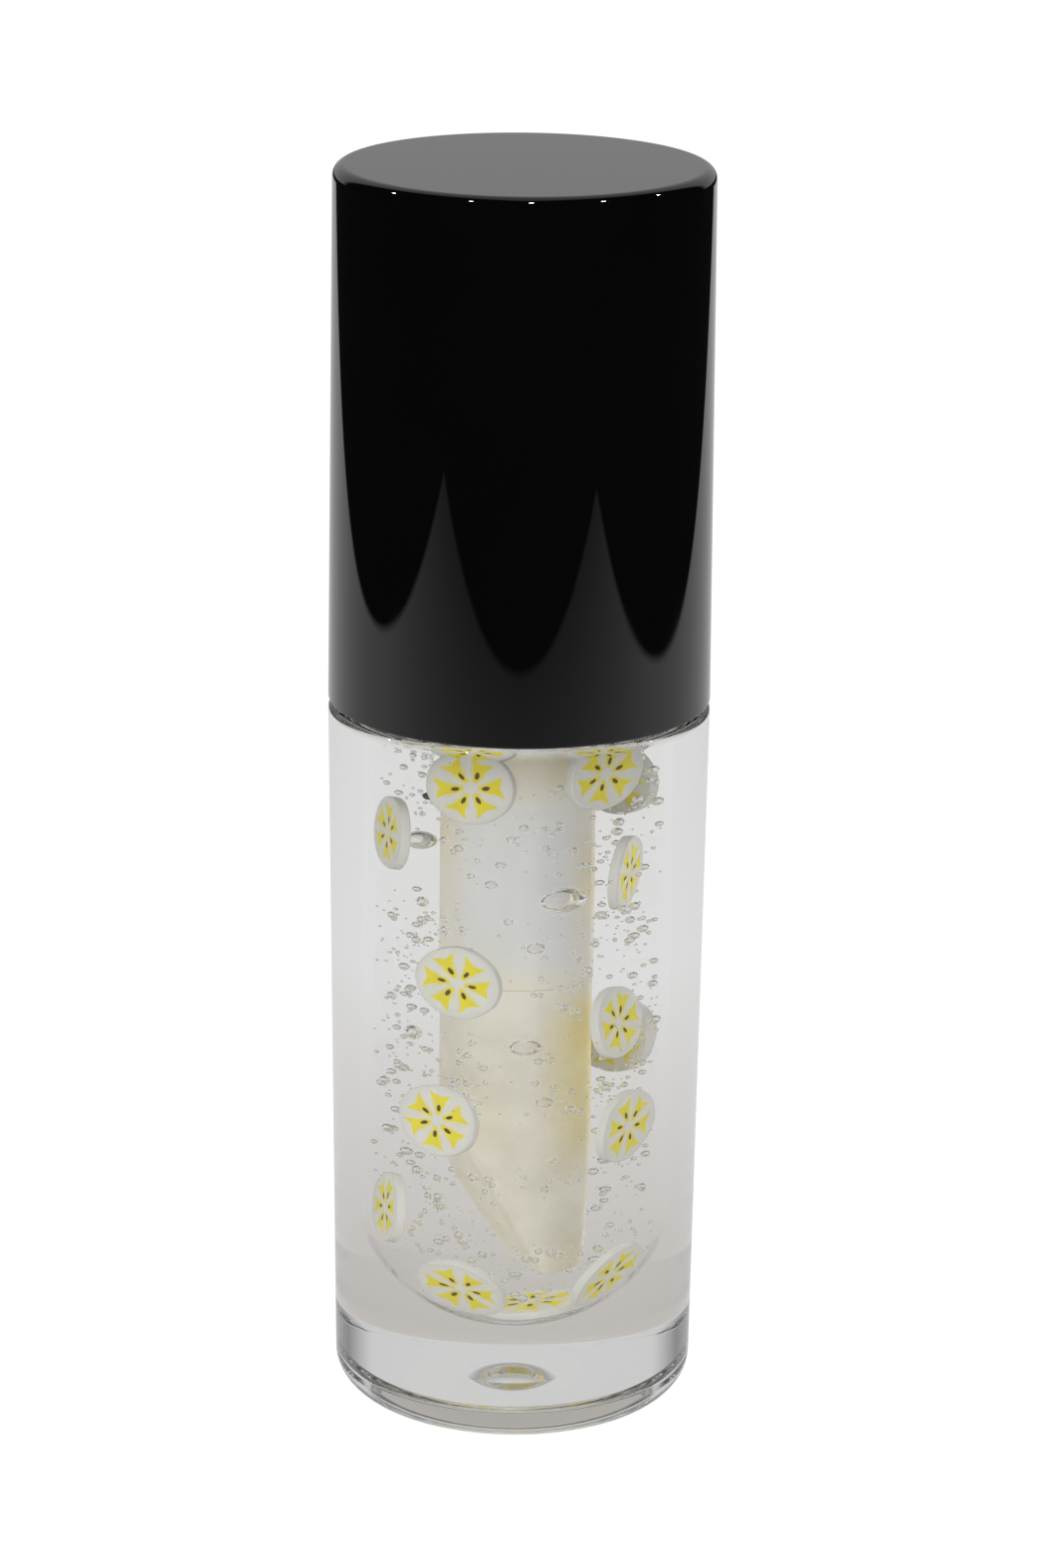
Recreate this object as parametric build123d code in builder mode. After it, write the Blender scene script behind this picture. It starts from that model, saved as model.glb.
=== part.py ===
from build123d import *
from math import atan, cos, degrees, radians, sin, sqrt
import os

# A lip gloss tube: a thick-walled clear bottle with a rounded cavity, filled with clear gel that
# carries fruit slices, closed by a tall screw cap that holds the applicator wand.
# Millimetres, +Z up, origin on the tube's axis at the underside of the bottle.

# Bottle, outside
body_diameter = 22.0       # at the shoulder
base_draft = 0.45          # radial, shoulder to the rounded bottom edge
body_height = 42.2         # underside to shoulder
base_corner = 1.9          # radius of the rounded bottom edge
shoulder_round = 0.5
base_thickness = 4.9       # lowest point of the cavity's dome above the standing plane
foot_width = 0.85          # flat land that the bottle stands on, round the base's recess
foot_depth = 1.5
gate_radius = 1.8          # dimple in the recess over the moulding gate
gate_depth = 0.9

# Cap, outside
cap_height = 30.8
cap_draft = 0.25           # radial, rim to top
cap_gap = 0.2              # between the shoulder and the cap's rim
cap_edge_round = 0.7
shell_wall = 1.4           # at the rim
shell_top = 1.5
rim_chamfer = 0.2

# Inner cap, pressed into the shell
press_gap = 0.03           # radial, shell bore to inner cap
inner_wall = 0.95
inner_recess = 0.4         # its lower end above the shell's rim
inner_ridge = 0.6          # thread ridge, inward
web_thickness = 1.4
channel_count = 8          # glue channels down the outside
channel_width = 1.2
channel_depth = 0.3

# Neck and screw thread
neck_height = 10.0
neck_wall = 1.5
neck_ridge = 0.7           # thread ridge, outward
thread_clearance = 0.05    # radial, crest to crest
thread_pitch = 2.0
thread_turns = 2.0
thread_start = 3.0         # first ridge above the shoulder
ridge_foot = 1.1           # ridge width at its root
ridge_crest = 0.5          # ridge width at its crest
ridge_bury = 0.15          # ridge root inside the wall it grows from

# Wiper, pressed into the neck
wiper_flange = 0.8
wiper_wall = 0.8
wiper_skirt = 5.0          # straight length below the neck's top
wiper_cone = 2.6           # height of the cone that narrows to the orifice
wiper_lip = 0.8            # height of the orifice
wiper_gap = 0.02           # radial, neck bore to skirt
wipe_clearance = 0.05      # radial, orifice to stem

# Seal washer
washer_thickness = 1.0
washer_clearance = 0.3     # radial, to the inner cap and to the stem

# Wand
stem_diameter = 6.0
stem_end = 26.3            # lower end of the stem
stem_hole_clearance = 0.03
head_flange = 1.5          # radial, stem to head
head_thickness = 1.2
snap_lip = 0.2
snap_ring_wall = 1.2
snap_ring_top = 0.8        # ring above the head
plug_diameter = 3.0        # tip core's plug in the stem's bore
plug_length = 7.5
plug_gap = 0.02
flock_thickness = 0.4
flock_inset = 0.05         # flock's radius below the stem's
tip_end = 8.4
tip_straight = 9.2         # straight length of the tip, below the stem
nose_radius = 2.7          # radius of the tip at its end
slant_reach = 8.7          # height of the slanted face above the tip's end
slant_foot = 0.55          # where the slanted face ends, beyond the axis
slant_azimuth = -75.0      # which way the slanted face looks, from the front
nose_round = 0.45

# Gel and fruit slices
fill_above_shoulder = 1.4
gel_clearance = 0.04       # gel to wand
slice_diameter = 4.4
slice_thickness = 0.5
slice_edge_round = 0.1
slice_film = 0.08          # gel left between a slice and the wall

# Each slice near the wall: azimuth from the front (degrees), height as a share of the gel column
# above the dome's centre, tilt of its top edge towards the axis (degrees), and how far it floats
# in from the wall.
wall_slices = [
    (-25.5, 0.856, 4, 0),
    (49, 0.873, -5, 0),
    (137, 0.82, 5, 0),
    (-87, 0.737, 3, 0),
    (87, 0.671, -4, 0.7),
    (-31.5, 0.497, -3, 0),
    (75, 0.40, 6, 0.7),
    (135, 0.34, -5, 0),
    (-43, 0.234, 4, 0),
    (70, 0.207, -4, 0),
    (-90, 0.03, 5, 0),
    (179, 0.675, -5, 0),
    (-178, 0.53, 4, 0),
    (180, 0.19, -4, 0),
]
# Slices leaning on the dome: azimuth, and lean beyond where it would touch one that lies flat at
# the dome's bottom (degrees). The last one does lie there, and its lean is from level.
dome_slices = [(-32, 8), (65, 11)]
bottom_slice = (110, 9)

# Sizes that follow from the ones above
base_radius = body_diameter / 2 - base_draft
recess_radius = base_radius - base_corner - foot_width
shell_bore = body_diameter - 2 * shell_wall
inner_diameter = shell_bore - 2 * press_gap
inner_root = inner_diameter - 2 * inner_wall
inner_crest = inner_root - 2 * inner_ridge
neck_crest = inner_crest - 2 * thread_clearance
neck_diameter = neck_crest - 2 * neck_ridge
bore_radius = neck_diameter / 2 - neck_wall
stem_radius = stem_diameter / 2
tip_radius = stem_radius - flock_inset

neck_top = body_height + neck_height
wiper_top = neck_top + wiper_flange
web_bottom = wiper_top + washer_thickness
web_top = web_bottom + web_thickness
head_top = web_top + head_thickness
cap_rim = body_height + cap_gap
cap_top = cap_rim + cap_height
shell_ceiling = cap_top - shell_top
inner_end = cap_rim + inner_recess
dome_centre = base_thickness + bore_radius
fill_level = body_height + fill_above_shoulder

os.makedirs("parts", exist_ok=True)


def thread_ridge(root_radius, height, outward):
    """Helical ridge on a wall of root_radius, from which it stands out or in by height."""
    side = 1 if outward else -1
    thread_base = body_height + thread_start
    buried_foot = ridge_foot + (ridge_foot - ridge_crest) * ridge_bury / height
    with BuildPart() as ridge:
        with BuildLine() as coil:
            Helix(
                pitch=thread_pitch,
                height=thread_pitch * thread_turns,
                radius=root_radius,
                center=(0, 0, thread_base),
            )
        section = Plane(origin=coil.line @ 0, x_dir=(side, 0, 0), z_dir=coil.line % 0)
        with BuildSketch(section):
            with BuildLine():
                Polyline(
                    (-ridge_bury, -buried_foot / 2),
                    (height, -ridge_crest / 2),
                    (height, ridge_crest / 2),
                    (-ridge_bury, buried_foot / 2),
                    close=True,
                )
            make_face()
        sweep(path=coil.line, is_frenet=True)
    return ridge.part


def doe_foot(shrink, rounding):
    """The applicator tip's shape, inset by shrink: a tapering nose with one slanted face."""
    radius = tip_radius - shrink
    end = tip_end + shrink
    top = stem_end
    taper = stem_end - tip_straight
    nose = nose_radius - shrink
    waist = radius - 0.3 * (radius - nose)
    with BuildPart() as foot:
        with BuildSketch(Plane.XZ):
            with BuildLine():
                Line((0, end), (nose, end))
                ThreePointArc((nose, end), (waist, (end + taper) / 2), (radius, taper))
                Polyline((radius, taper), (radius, top), (0, top), (0, end))
            make_face()
        revolve(axis=Axis.Z)
        heading = radians(slant_azimuth)
        outward = Vector(sin(heading), -cos(heading), 0)
        upward = Vector(0, 0, 1)
        slant_normal = outward * slant_reach - upward * (tip_radius + slant_foot)
        slant_start = upward * tip_end - outward * slant_foot
        slant = Plane(origin=slant_start, z_dir=slant_normal).offset(-shrink)
        split(bisect_by=slant, keep=Keep.BOTTOM)
        if rounding:
            planes = foot.faces().filter_by(GeomType.PLANE)
            slanted = planes.filter_by(lambda face: abs(face.normal_at().Z) < 0.9)
            fillet(slanted.edges() + planes.sort_by(Axis.Z)[0].edges(), rounding)
    return foot.part


def finish(piece, label):
    """Name a finished piece and write it."""
    piece.part.label = label
    export_step(piece.part, f"parts/{label}.step")


# Bottle: one clear moulding. Its wall tapers to the base, its cavity ends in a dome, and its neck
# keeps the cavity's bore, because the core is pulled out upwards. It stands on a narrow land round
# a shallow recess, with a dimple where the plastic was fed in.
neck_thread = thread_ridge(neck_diameter / 2, neck_ridge, True)
with BuildPart() as bottle:
    with BuildSketch(Plane.XZ):
        with BuildLine():
            TangentArc((0, foot_depth + gate_depth), (gate_radius, foot_depth), tangent=(1, 0))
            Polyline(
                (gate_radius, foot_depth),
                (recess_radius, foot_depth),
                (recess_radius, 0),
                (base_radius - base_corner, 0),
            )
            CenterArc((base_radius - base_corner, base_corner), base_corner, -90, 90)
            Polyline(
                (base_radius, base_corner),
                (body_diameter / 2, body_height),
                (neck_diameter / 2, body_height),
                (neck_diameter / 2, neck_top),
                (bore_radius, neck_top),
                (bore_radius, dome_centre),
            )
            CenterArc((0, dome_centre), bore_radius, 0, -90)
            Line((0, base_thickness), (0, foot_depth + gate_depth))
        make_face()
    revolve(axis=Axis.Z)
    shoulder_edge = bottle.edges().filter_by(GeomType.CIRCLE).group_by(Axis.Z)[-2].sort_by(
        SortBy.RADIUS
    )[-1]
    fillet(shoulder_edge, shoulder_round)
    add(neck_thread)
finish(bottle, "bottle")

# Wiper: soft insert pressed into the neck. Its cone narrows to the orifice that wipes the stem.
orifice = stem_radius + wipe_clearance
skirt_radius = bore_radius - wiper_gap
skirt_end = neck_top - wiper_skirt
cone_end = skirt_end - wiper_cone
with BuildPart() as wiper:
    with BuildSketch(Plane.XZ):
        with BuildLine():
            Polyline(
                (skirt_radius - wiper_wall, wiper_top),
                (neck_diameter / 2, wiper_top),
                (neck_diameter / 2, neck_top),
                (skirt_radius, neck_top),
                (skirt_radius, skirt_end),
                (orifice + wiper_wall, cone_end),
                (orifice, cone_end),
                (orifice, cone_end + wiper_lip),
                (skirt_radius - wiper_wall, skirt_end + wiper_lip),
                close=True,
            )
        make_face()
    revolve(axis=Axis.Z)
finish(wiper, "wiper")

# Cap shell: glossy outer cap, slightly narrower at its top, with a plain bore for the inner cap.
with BuildPart() as cap_shell:
    with BuildSketch(Plane.XZ):
        with BuildLine():
            Polyline(
                (0, cap_top),
                (body_diameter / 2 - cap_draft, cap_top),
                (body_diameter / 2, cap_rim),
                (shell_bore / 2, cap_rim),
                (shell_bore / 2, shell_ceiling),
                (0, shell_ceiling),
                close=True,
            )
        make_face()
    revolve(axis=Axis.Z)
    top_edge = cap_shell.faces().sort_by(Axis.Z)[-1].edges()
    fillet(top_edge, cap_edge_round)
    mouth_edge = cap_shell.faces().sort_by(Axis.Z)[0].edges().sort_by(SortBy.RADIUS)[0]
    chamfer(mouth_edge, rim_chamfer)
finish(cap_shell, "cap_shell")

# Inner cap: threaded liner pressed into the shell, from just above its rim to its ceiling. A web
# across it carries the wand's head inside a ring with a snap lip.
cap_thread = thread_ridge(inner_root / 2, inner_ridge, False)
ring_radius = stem_radius + head_flange
with BuildPart() as inner_cap:
    with BuildSketch(Plane.XY.offset(inner_end)):
        Circle(inner_diameter / 2)
        Circle(inner_root / 2, mode=Mode.SUBTRACT)
    extrude(amount=shell_ceiling - inner_end)
    with BuildSketch(Plane.XY.offset(web_bottom)):
        Circle(inner_root / 2 + press_gap)
        Circle(stem_radius + stem_hole_clearance, mode=Mode.SUBTRACT)
    extrude(amount=web_thickness)
    with BuildSketch(Plane.XZ):
        with BuildLine():
            Polyline(
                (ring_radius, web_top),
                (ring_radius, head_top),
                (ring_radius - snap_lip, head_top + snap_lip),
                (ring_radius, head_top + snap_ring_top),
                (ring_radius + snap_ring_wall, head_top + snap_ring_top),
                (ring_radius + snap_ring_wall, web_top),
                close=True,
            )
        make_face()
    revolve(axis=Axis.Z)
    with BuildSketch(Plane.XY.offset(inner_end)):
        with PolarLocations(inner_diameter / 2, channel_count):
            Rectangle(2 * channel_depth, channel_width)
    extrude(amount=shell_ceiling - inner_end - web_thickness, mode=Mode.SUBTRACT)
    add(cap_thread)
finish(inner_cap, "inner_cap")

# Seal washer: soft ring that lies on the wiper's flange and lifts off with the cap.
with BuildPart() as seal_washer:
    with BuildSketch(Plane.XY.offset(wiper_top)):
        Circle(inner_root / 2 - washer_clearance)
        Circle(stem_radius + washer_clearance, mode=Mode.SUBTRACT)
    extrude(amount=washer_thickness)
finish(seal_washer, "seal_washer")

# Wand stem: moulded rod with a flanged head above the web and a bore for the tip core's plug.
with BuildPart() as wand_stem:
    with BuildSketch(Plane.XY.offset(stem_end)):
        Circle(stem_radius)
    extrude(amount=head_top - stem_end)
    with BuildSketch(Plane.XY.offset(web_top)):
        Circle(ring_radius)
    extrude(amount=head_thickness)
    with BuildSketch(Plane.XY.offset(stem_end)):
        Circle(plug_diameter / 2 + plug_gap)
    extrude(amount=plug_length + plug_gap, mode=Mode.SUBTRACT)
finish(wand_stem, "wand_stem")

# Tip core: doe-foot applicator core, plugged into the stem.
core_shape = doe_foot(flock_thickness, 0)
with BuildPart() as tip_core:
    add(core_shape)
    with BuildSketch(Plane.XY.offset(stem_end)):
        Circle(plug_diameter / 2)
    extrude(amount=plug_length)
finish(tip_core, "tip_core")

# Tip flock: the even layer of short fibres on the core.
flock_shape = doe_foot(0, nose_round)
with BuildPart() as tip_flock:
    add(flock_shape)
    add(core_shape, mode=Mode.SUBTRACT)
finish(tip_flock, "tip_flock")

# Fruit slices: thin round slices against the cavity's wall and leaning on its dome. Each plane's
# origin is a slice's centre and its normal points away from the axis or the dome's centre.
slice_radius = slice_diameter / 2
free_radius = bore_radius - slice_film
seat = sqrt(free_radius**2 - slice_radius**2) - slice_thickness / 2
gel_column = fill_level - dome_centre
seats = []
for azimuth, share, tilt, gap in wall_slices:
    heading = radians(azimuth)
    lean = radians(tilt)
    outward = Vector(sin(heading), -cos(heading), 0)
    # A tilted slice stands further in by what its lower or upper edge swings out.
    swing = slice_radius * abs(sin(lean)) * slice_radius / seat
    height = dome_centre + share * gel_column
    centre = outward * (seat - swing - gap) + Vector(0, 0, height)
    normal = outward * cos(lean) + Vector(0, 0, sin(lean))
    seats.append(Plane(origin=centre, z_dir=normal))
touching = 2 * degrees(atan(slice_radius / (seat - slice_thickness / 2)))
leaning = [(azimuth, touching + lean) for azimuth, lean in dome_slices]
for azimuth, lean in [*leaning, bottom_slice]:
    heading = radians(azimuth)
    lean = radians(lean)
    outward = Vector(sin(heading) * sin(lean), -cos(heading) * sin(lean), -cos(lean))
    seats.append(Plane(origin=outward * seat + Vector(0, 0, dome_centre), z_dir=outward))

slice_solids = []
for number, plane in enumerate(seats, start=1):
    with BuildPart(plane) as fruit_slice:
        Cylinder(slice_radius, slice_thickness)
        fillet(fruit_slice.edges().filter_by(GeomType.CIRCLE), slice_edge_round)
    finish(fruit_slice, f"fruit_slice_{number:02d}")
    slice_solids.append(fruit_slice.part)

# Gloss fill: the gel in the cavity, up to its level in the neck, around the slices and the wand.
tip_hollow = doe_foot(-gel_clearance, nose_round + gel_clearance)
with BuildPart() as gloss_fill:
    with BuildSketch(Plane.XZ):
        with BuildLine():
            Polyline((0, base_thickness), (0, fill_level), (bore_radius, fill_level))
            Line((bore_radius, fill_level), (bore_radius, dome_centre))
            CenterArc((0, dome_centre), bore_radius, 0, -90)
        make_face()
    revolve(axis=Axis.Z)
    add(tip_hollow, mode=Mode.SUBTRACT)
    with BuildSketch(Plane.XY.offset(stem_end - gel_clearance)):
        Circle(stem_radius + gel_clearance)
    extrude(amount=fill_level - stem_end + gel_clearance, mode=Mode.SUBTRACT)
    add(slice_solids, mode=Mode.SUBTRACT)
finish(gloss_fill, "gloss_fill")
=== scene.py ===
import math
import random

import bmesh
import bpy
from mathutils import Matrix, Vector, noise


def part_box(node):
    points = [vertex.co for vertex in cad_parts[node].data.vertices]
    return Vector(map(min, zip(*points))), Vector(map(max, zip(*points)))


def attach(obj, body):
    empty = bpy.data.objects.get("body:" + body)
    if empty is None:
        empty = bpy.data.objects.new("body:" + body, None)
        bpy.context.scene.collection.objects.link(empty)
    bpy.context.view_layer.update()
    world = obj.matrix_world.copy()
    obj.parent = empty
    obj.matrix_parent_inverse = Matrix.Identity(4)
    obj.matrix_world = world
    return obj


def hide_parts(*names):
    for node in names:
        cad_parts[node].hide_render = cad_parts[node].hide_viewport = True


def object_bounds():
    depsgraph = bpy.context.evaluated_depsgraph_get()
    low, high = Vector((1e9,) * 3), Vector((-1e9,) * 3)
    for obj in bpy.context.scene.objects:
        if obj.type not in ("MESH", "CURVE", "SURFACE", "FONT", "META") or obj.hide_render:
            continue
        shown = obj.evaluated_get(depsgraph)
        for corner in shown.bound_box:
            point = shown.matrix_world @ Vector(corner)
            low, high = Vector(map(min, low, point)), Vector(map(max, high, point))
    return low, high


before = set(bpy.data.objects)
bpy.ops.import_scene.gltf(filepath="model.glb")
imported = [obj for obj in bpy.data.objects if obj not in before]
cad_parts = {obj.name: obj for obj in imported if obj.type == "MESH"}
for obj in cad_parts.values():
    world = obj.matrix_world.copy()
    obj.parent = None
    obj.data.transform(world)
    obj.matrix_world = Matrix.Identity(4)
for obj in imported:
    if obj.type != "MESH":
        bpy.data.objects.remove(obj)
cad_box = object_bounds()
mm = 0.001

# ---------------------------------------------------------------------------------------------
# Bottle. One clear plastic moulding with a thick wall and a solid base, turned in section, with
# a rounded cavity and a screw thread on its neck. The wall below the fill is wetted by the gel,
# so light passes it almost unbent, while the outside and the dry neck meet air.
# ---------------------------------------------------------------------------------------------
shoulder_radius = 11.0 * mm
base_radius = 10.55 * mm
base_corner = 1.9 * mm
foot_radius = 7.8 * mm
foot_depth = 1.5 * mm
gate_radius = 1.8 * mm
gate_depth = 0.9 * mm
shoulder_round = 0.5 * mm
shoulder_height = 42.2 * mm
neck_radius = 7.27 * mm
bore_radius = 5.77 * mm
cavity_floor = 4.9 * mm
neck_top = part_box("bottle")[1][2]
fill_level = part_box("gloss_fill")[1][2]
dome_centre = cavity_floor + bore_radius
thread_start = shoulder_height + 3.0 * mm
thread_pitch = 2.0 * mm
thread_turns = 2.0
thread_height = 0.7 * mm
thread_foot = 1.1 * mm
thread_crest = 0.5 * mm
thread_bury = 0.15 * mm


def arc(centre, radius, start, end, steps):
    """Points on an arc in the section plane, angles in degrees from the outward direction."""
    turns = [math.radians(start + (end - start) * i / steps) for i in range(steps + 1)]
    return [(centre[0] + radius * math.cos(t), centre[1] + radius * math.sin(t)) for t in turns]


def rounded(corners, closed=False):
    """An outline of (radius, height, round) corners. Short straight lengths beside each round
    keep the shading of the long walls true."""
    outline = []
    count = len(corners)
    for i, (r, z, size) in enumerate(corners):
        here = Vector((r, z))
        ends = not closed and i in (0, count - 1)
        if not size or ends:
            outline.append((r, z))
            continue
        before = (Vector(corners[i - 1][:2]) - here).normalized()
        after = (Vector(corners[(i + 1) % count][:2]) - here).normalized()
        half = before.angle(after) / 2
        reach = size / math.tan(half)
        centre = here + (before + after).normalized() * size / math.sin(half)
        first = here + before * reach
        last = here + after * reach
        start = math.atan2(*(first - centre).yx)
        turn = (math.atan2(*(last - centre).yx) - start + math.pi) % (2 * math.pi) - math.pi
        steps = max(4, round(abs(turn) / math.radians(6)))
        outline.append(tuple(first + before * 0.02 * mm))
        angles = (math.degrees(start), math.degrees(start + turn))
        outline += arc(centre, size, *angles, steps)
        outline.append(tuple(last + after * 0.02 * mm))
    return outline


def turned(outline, steps=256, closed=False):
    """Spins an outline of (radius, height) points round the tube's axis."""
    bm = bmesh.new()
    verts = [bm.verts.new((r, 0, z)) for r, z in outline]
    pairs = list(zip(verts, verts[1:]))
    if closed:
        pairs.append((verts[-1], verts[0]))
    edges = [bm.edges.new(pair) for pair in pairs]
    bmesh.ops.spin(
        bm, geom=verts + edges, cent=(0, 0, 0), axis=(0, 0, 1), dvec=(0, 0, 0),
        angle=2 * math.pi, steps=steps, use_merge=True, use_duplicate=False,
    )
    bmesh.ops.remove_doubles(bm, verts=bm.verts, dist=0.0001 * mm)
    bmesh.ops.recalc_face_normals(bm, faces=bm.faces)
    return bm


def shade(bm, sharp_angle=28):
    """Smooth faces, with the real corners of the moulding kept sharp."""
    for face in bm.faces:
        face.smooth = True
    for edge in bm.edges:
        turn = edge.calc_face_angle(0) if len(edge.link_faces) == 2 else 0
        edge.smooth = turn < math.radians(sharp_angle)


def piece(name, bm, materials):
    """A new object from a bmesh, with its materials."""
    mesh = bpy.data.meshes.new(name)
    bm.to_mesh(mesh)
    bm.free()
    obj = bpy.data.objects.new(name, mesh)
    bpy.context.scene.collection.objects.link(obj)
    for material in materials:
        mesh.materials.append(material)
    return obj


def new_material(name):
    """A node material with its Principled shader, returned with the parts to build on."""
    material = bpy.data.materials.new(name)
    material.use_nodes = True
    tree = material.node_tree
    shader = tree.nodes["Principled BSDF"]
    return material, tree, shader


def node(tree, kind, **settings):
    """A node with its plain settings and its unlinked input values."""
    made = tree.nodes.new(kind)
    for key, value in settings.items():
        if hasattr(made, key):
            setattr(made, key, value)
        else:
            made.inputs[key.replace("_", " ")].default_value = value
    return made


def object_noise(tree, scale, detail=3.0, stretch=None):
    """Noise on Object coordinates, with features of about 1/scale metres."""
    coords = node(tree, "ShaderNodeTexCoord").outputs["Object"]
    if stretch:
        mapping = node(tree, "ShaderNodeMapping")
        mapping.inputs["Scale"].default_value = stretch
        tree.links.new(coords, mapping.inputs["Vector"])
        coords = mapping.outputs["Vector"]
    grain = node(tree, "ShaderNodeTexNoise", Scale=scale, Detail=detail)
    tree.links.new(coords, grain.inputs["Vector"])
    return grain.outputs["Fac"]


def remap(tree, value, low, high, from_low=0.3, from_high=0.7):
    """A value spread to a new range."""
    spread = node(tree, "ShaderNodeMapRange", clamp=True)
    spread.inputs["From Min"].default_value = from_low
    spread.inputs["From Max"].default_value = from_high
    spread.inputs["To Min"].default_value = low
    spread.inputs["To Max"].default_value = high
    tree.links.new(value, spread.inputs["Value"])
    return spread.outputs["Result"]


def bump(tree, shader, height, strength, distance):
    """Surface relief from a height value."""
    relief = node(tree, "ShaderNodeBump", Strength=strength, Distance=distance)
    tree.links.new(height, relief.inputs["Height"])
    tree.links.new(relief.outputs["Normal"], shader.inputs["Normal"])


def clear(name, ior, colour=(1, 1, 1, 1), haze=0.0):
    """A clear solid's surface: light passes it and bends by ior, with a faint uneven polish."""
    material, tree, shader = new_material(name)
    shader.inputs["Base Color"].default_value = colour
    shader.inputs["Transmission Weight"].default_value = 1.0
    shader.inputs["IOR"].default_value = ior
    shader.inputs["Roughness"].default_value = 0.0
    if haze:
        polish = remap(tree, object_noise(tree, 260), 0.0, haze)
        tree.links.new(polish, shader.inputs["Roughness"])
    return material


plastic_index = 1.52
gel_index = 1.46
clear_outside = clear("clear_plastic_outside", plastic_index, (0.985, 0.985, 0.98, 1), 0.02)
clear_wetted = clear("clear_plastic_wetted", plastic_index / gel_index)

neck_bore_end = rounded([
    (neck_radius, shoulder_height, 0),
    (neck_radius, neck_top, 0.2 * mm),
    (bore_radius, neck_top, 0.2 * mm),
    (bore_radius, fill_level, 0),
])
# The gate dimple is a shallow arc in the middle of the recess under the base.
gate_curve = (gate_radius ** 2 + gate_depth ** 2) / (2 * gate_depth)
gate_swing = math.degrees(math.asin(gate_radius / gate_curve))
gate_centre = (0, foot_depth + gate_depth - gate_curve)
body_section = (
    arc(gate_centre, gate_curve, 90, 90 - gate_swing, 8)
    + rounded([
        (gate_radius + 0.02 * mm, foot_depth, 0),
        (foot_radius, foot_depth, 0.7 * mm),
        (foot_radius, 0, 0.1 * mm),
        (base_radius, 0, base_corner),
        (shoulder_radius, shoulder_height, shoulder_round),
        (neck_radius, shoulder_height, 0),
    ])
    + neck_bore_end[1:]
    + [(bore_radius, dome_centre + 0.02 * mm)]
    + arc((0, dome_centre), bore_radius, 0, -90, 28)
)
bm = turned(body_section)
for face in bm.faces:
    middle = face.calc_center_median()
    inside = math.hypot(middle.x, middle.y) < bore_radius + 0.01 * mm
    above_floor = middle.z > cavity_floor - 0.01 * mm
    if inside and above_floor and middle.z < fill_level:
        face.material_index = 1
shade(bm)
bottle = piece("bottle_clear", bm, [clear_outside, clear_wetted])

bm = bmesh.new()
half_foot = thread_foot / 2
half_crest = thread_crest / 2
ridge_section = [
    (neck_radius - thread_bury, -half_foot),
    (neck_radius, -half_foot),
    (neck_radius + thread_height, -half_crest),
    (neck_radius + thread_height, half_crest),
    (neck_radius, half_foot),
    (neck_radius - thread_bury, half_foot),
]
verts = [bm.verts.new((r, 0, thread_start + z)) for r, z in ridge_section]
section_face = bm.faces.new(verts)
thread_steps = 160
bmesh.ops.spin(
    bm, geom=[section_face], cent=(0, 0, 0), axis=(0, 0, 1),
    dvec=(0, 0, thread_pitch * thread_turns / thread_steps),
    angle=2 * math.pi * thread_turns, steps=thread_steps, use_merge=False, use_duplicate=False,
)
bmesh.ops.recalc_face_normals(bm, faces=bm.faces)
thread = piece("thread_ridge", bm, [clear_outside])
union = bottle.modifiers.new("thread", "BOOLEAN")
union.operation = "UNION"
union.solver = "MANIFOLD"
union.object = thread
bpy.context.view_layer.objects.active = bottle
bpy.ops.object.modifier_apply(modifier="thread")
bpy.data.objects.remove(thread)
bm = bmesh.new()
bm.from_mesh(bottle.data)
shade(bm)
bm.to_mesh(bottle.data)
bm.free()
bottle.visible_shadow = False
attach(bottle, "bottle")
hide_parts("bottle")

# ---------------------------------------------------------------------------------------------
# Wiper. Soft milky insert pressed into the neck, moulded in one piece. Its cone narrows to the
# orifice that wipes the stem as the wand is drawn out.
# ---------------------------------------------------------------------------------------------
milky, tree, shader = new_material("milky_plastic")
shader.inputs["IOR"].default_value = 1.51
shader.inputs["Subsurface Weight"].default_value = 0.2
shader.inputs["Subsurface Scale"].default_value = 0.6 * mm
tint = node(tree, "ShaderNodeValToRGB")
tint.color_ramp.elements[0].color = (0.74, 0.74, 0.71, 1)
tint.color_ramp.elements[1].color = (0.82, 0.82, 0.8, 1)
tree.links.new(object_noise(tree, 180), tint.inputs["Fac"])
tree.links.new(tint.outputs["Color"], shader.inputs["Base Color"])
tree.links.new(remap(tree, object_noise(tree, 900), 0.38, 0.52), shader.inputs["Roughness"])
bump(tree, shader, object_noise(tree, 2500), 0.15, 0.02 * mm)


def dress(name, material):
    """Gives a CAD node a material in place of its plain one."""
    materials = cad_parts[name].data.materials
    materials.clear()
    materials.append(material)


dress("wiper", milky)

# ---------------------------------------------------------------------------------------------
# Gel. Thick clear gloss that fills the cavity round the slices and the wand. It keeps the CAD
# solid's shape: its sides touch plastic and bend nothing, and its level top meets air.
# ---------------------------------------------------------------------------------------------
gel_top = clear("gel_surface", gel_index)
gel_side = clear("gel_against_plastic", 1.0)
bm = bmesh.new()
bm.from_mesh(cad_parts["gloss_fill"].data)
bmesh.ops.remove_doubles(bm, verts=bm.verts, dist=0.0001 * mm)
for face in bm.faces:
    face.smooth = False
    face.material_index = 1 if face.calc_center_median().z < fill_level - 0.01 * mm else 0
gel = piece("gloss_gel", bm, [gel_top, gel_side])
gel.visible_shadow = False
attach(gel, "bottle")
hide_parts("gloss_fill")

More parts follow.
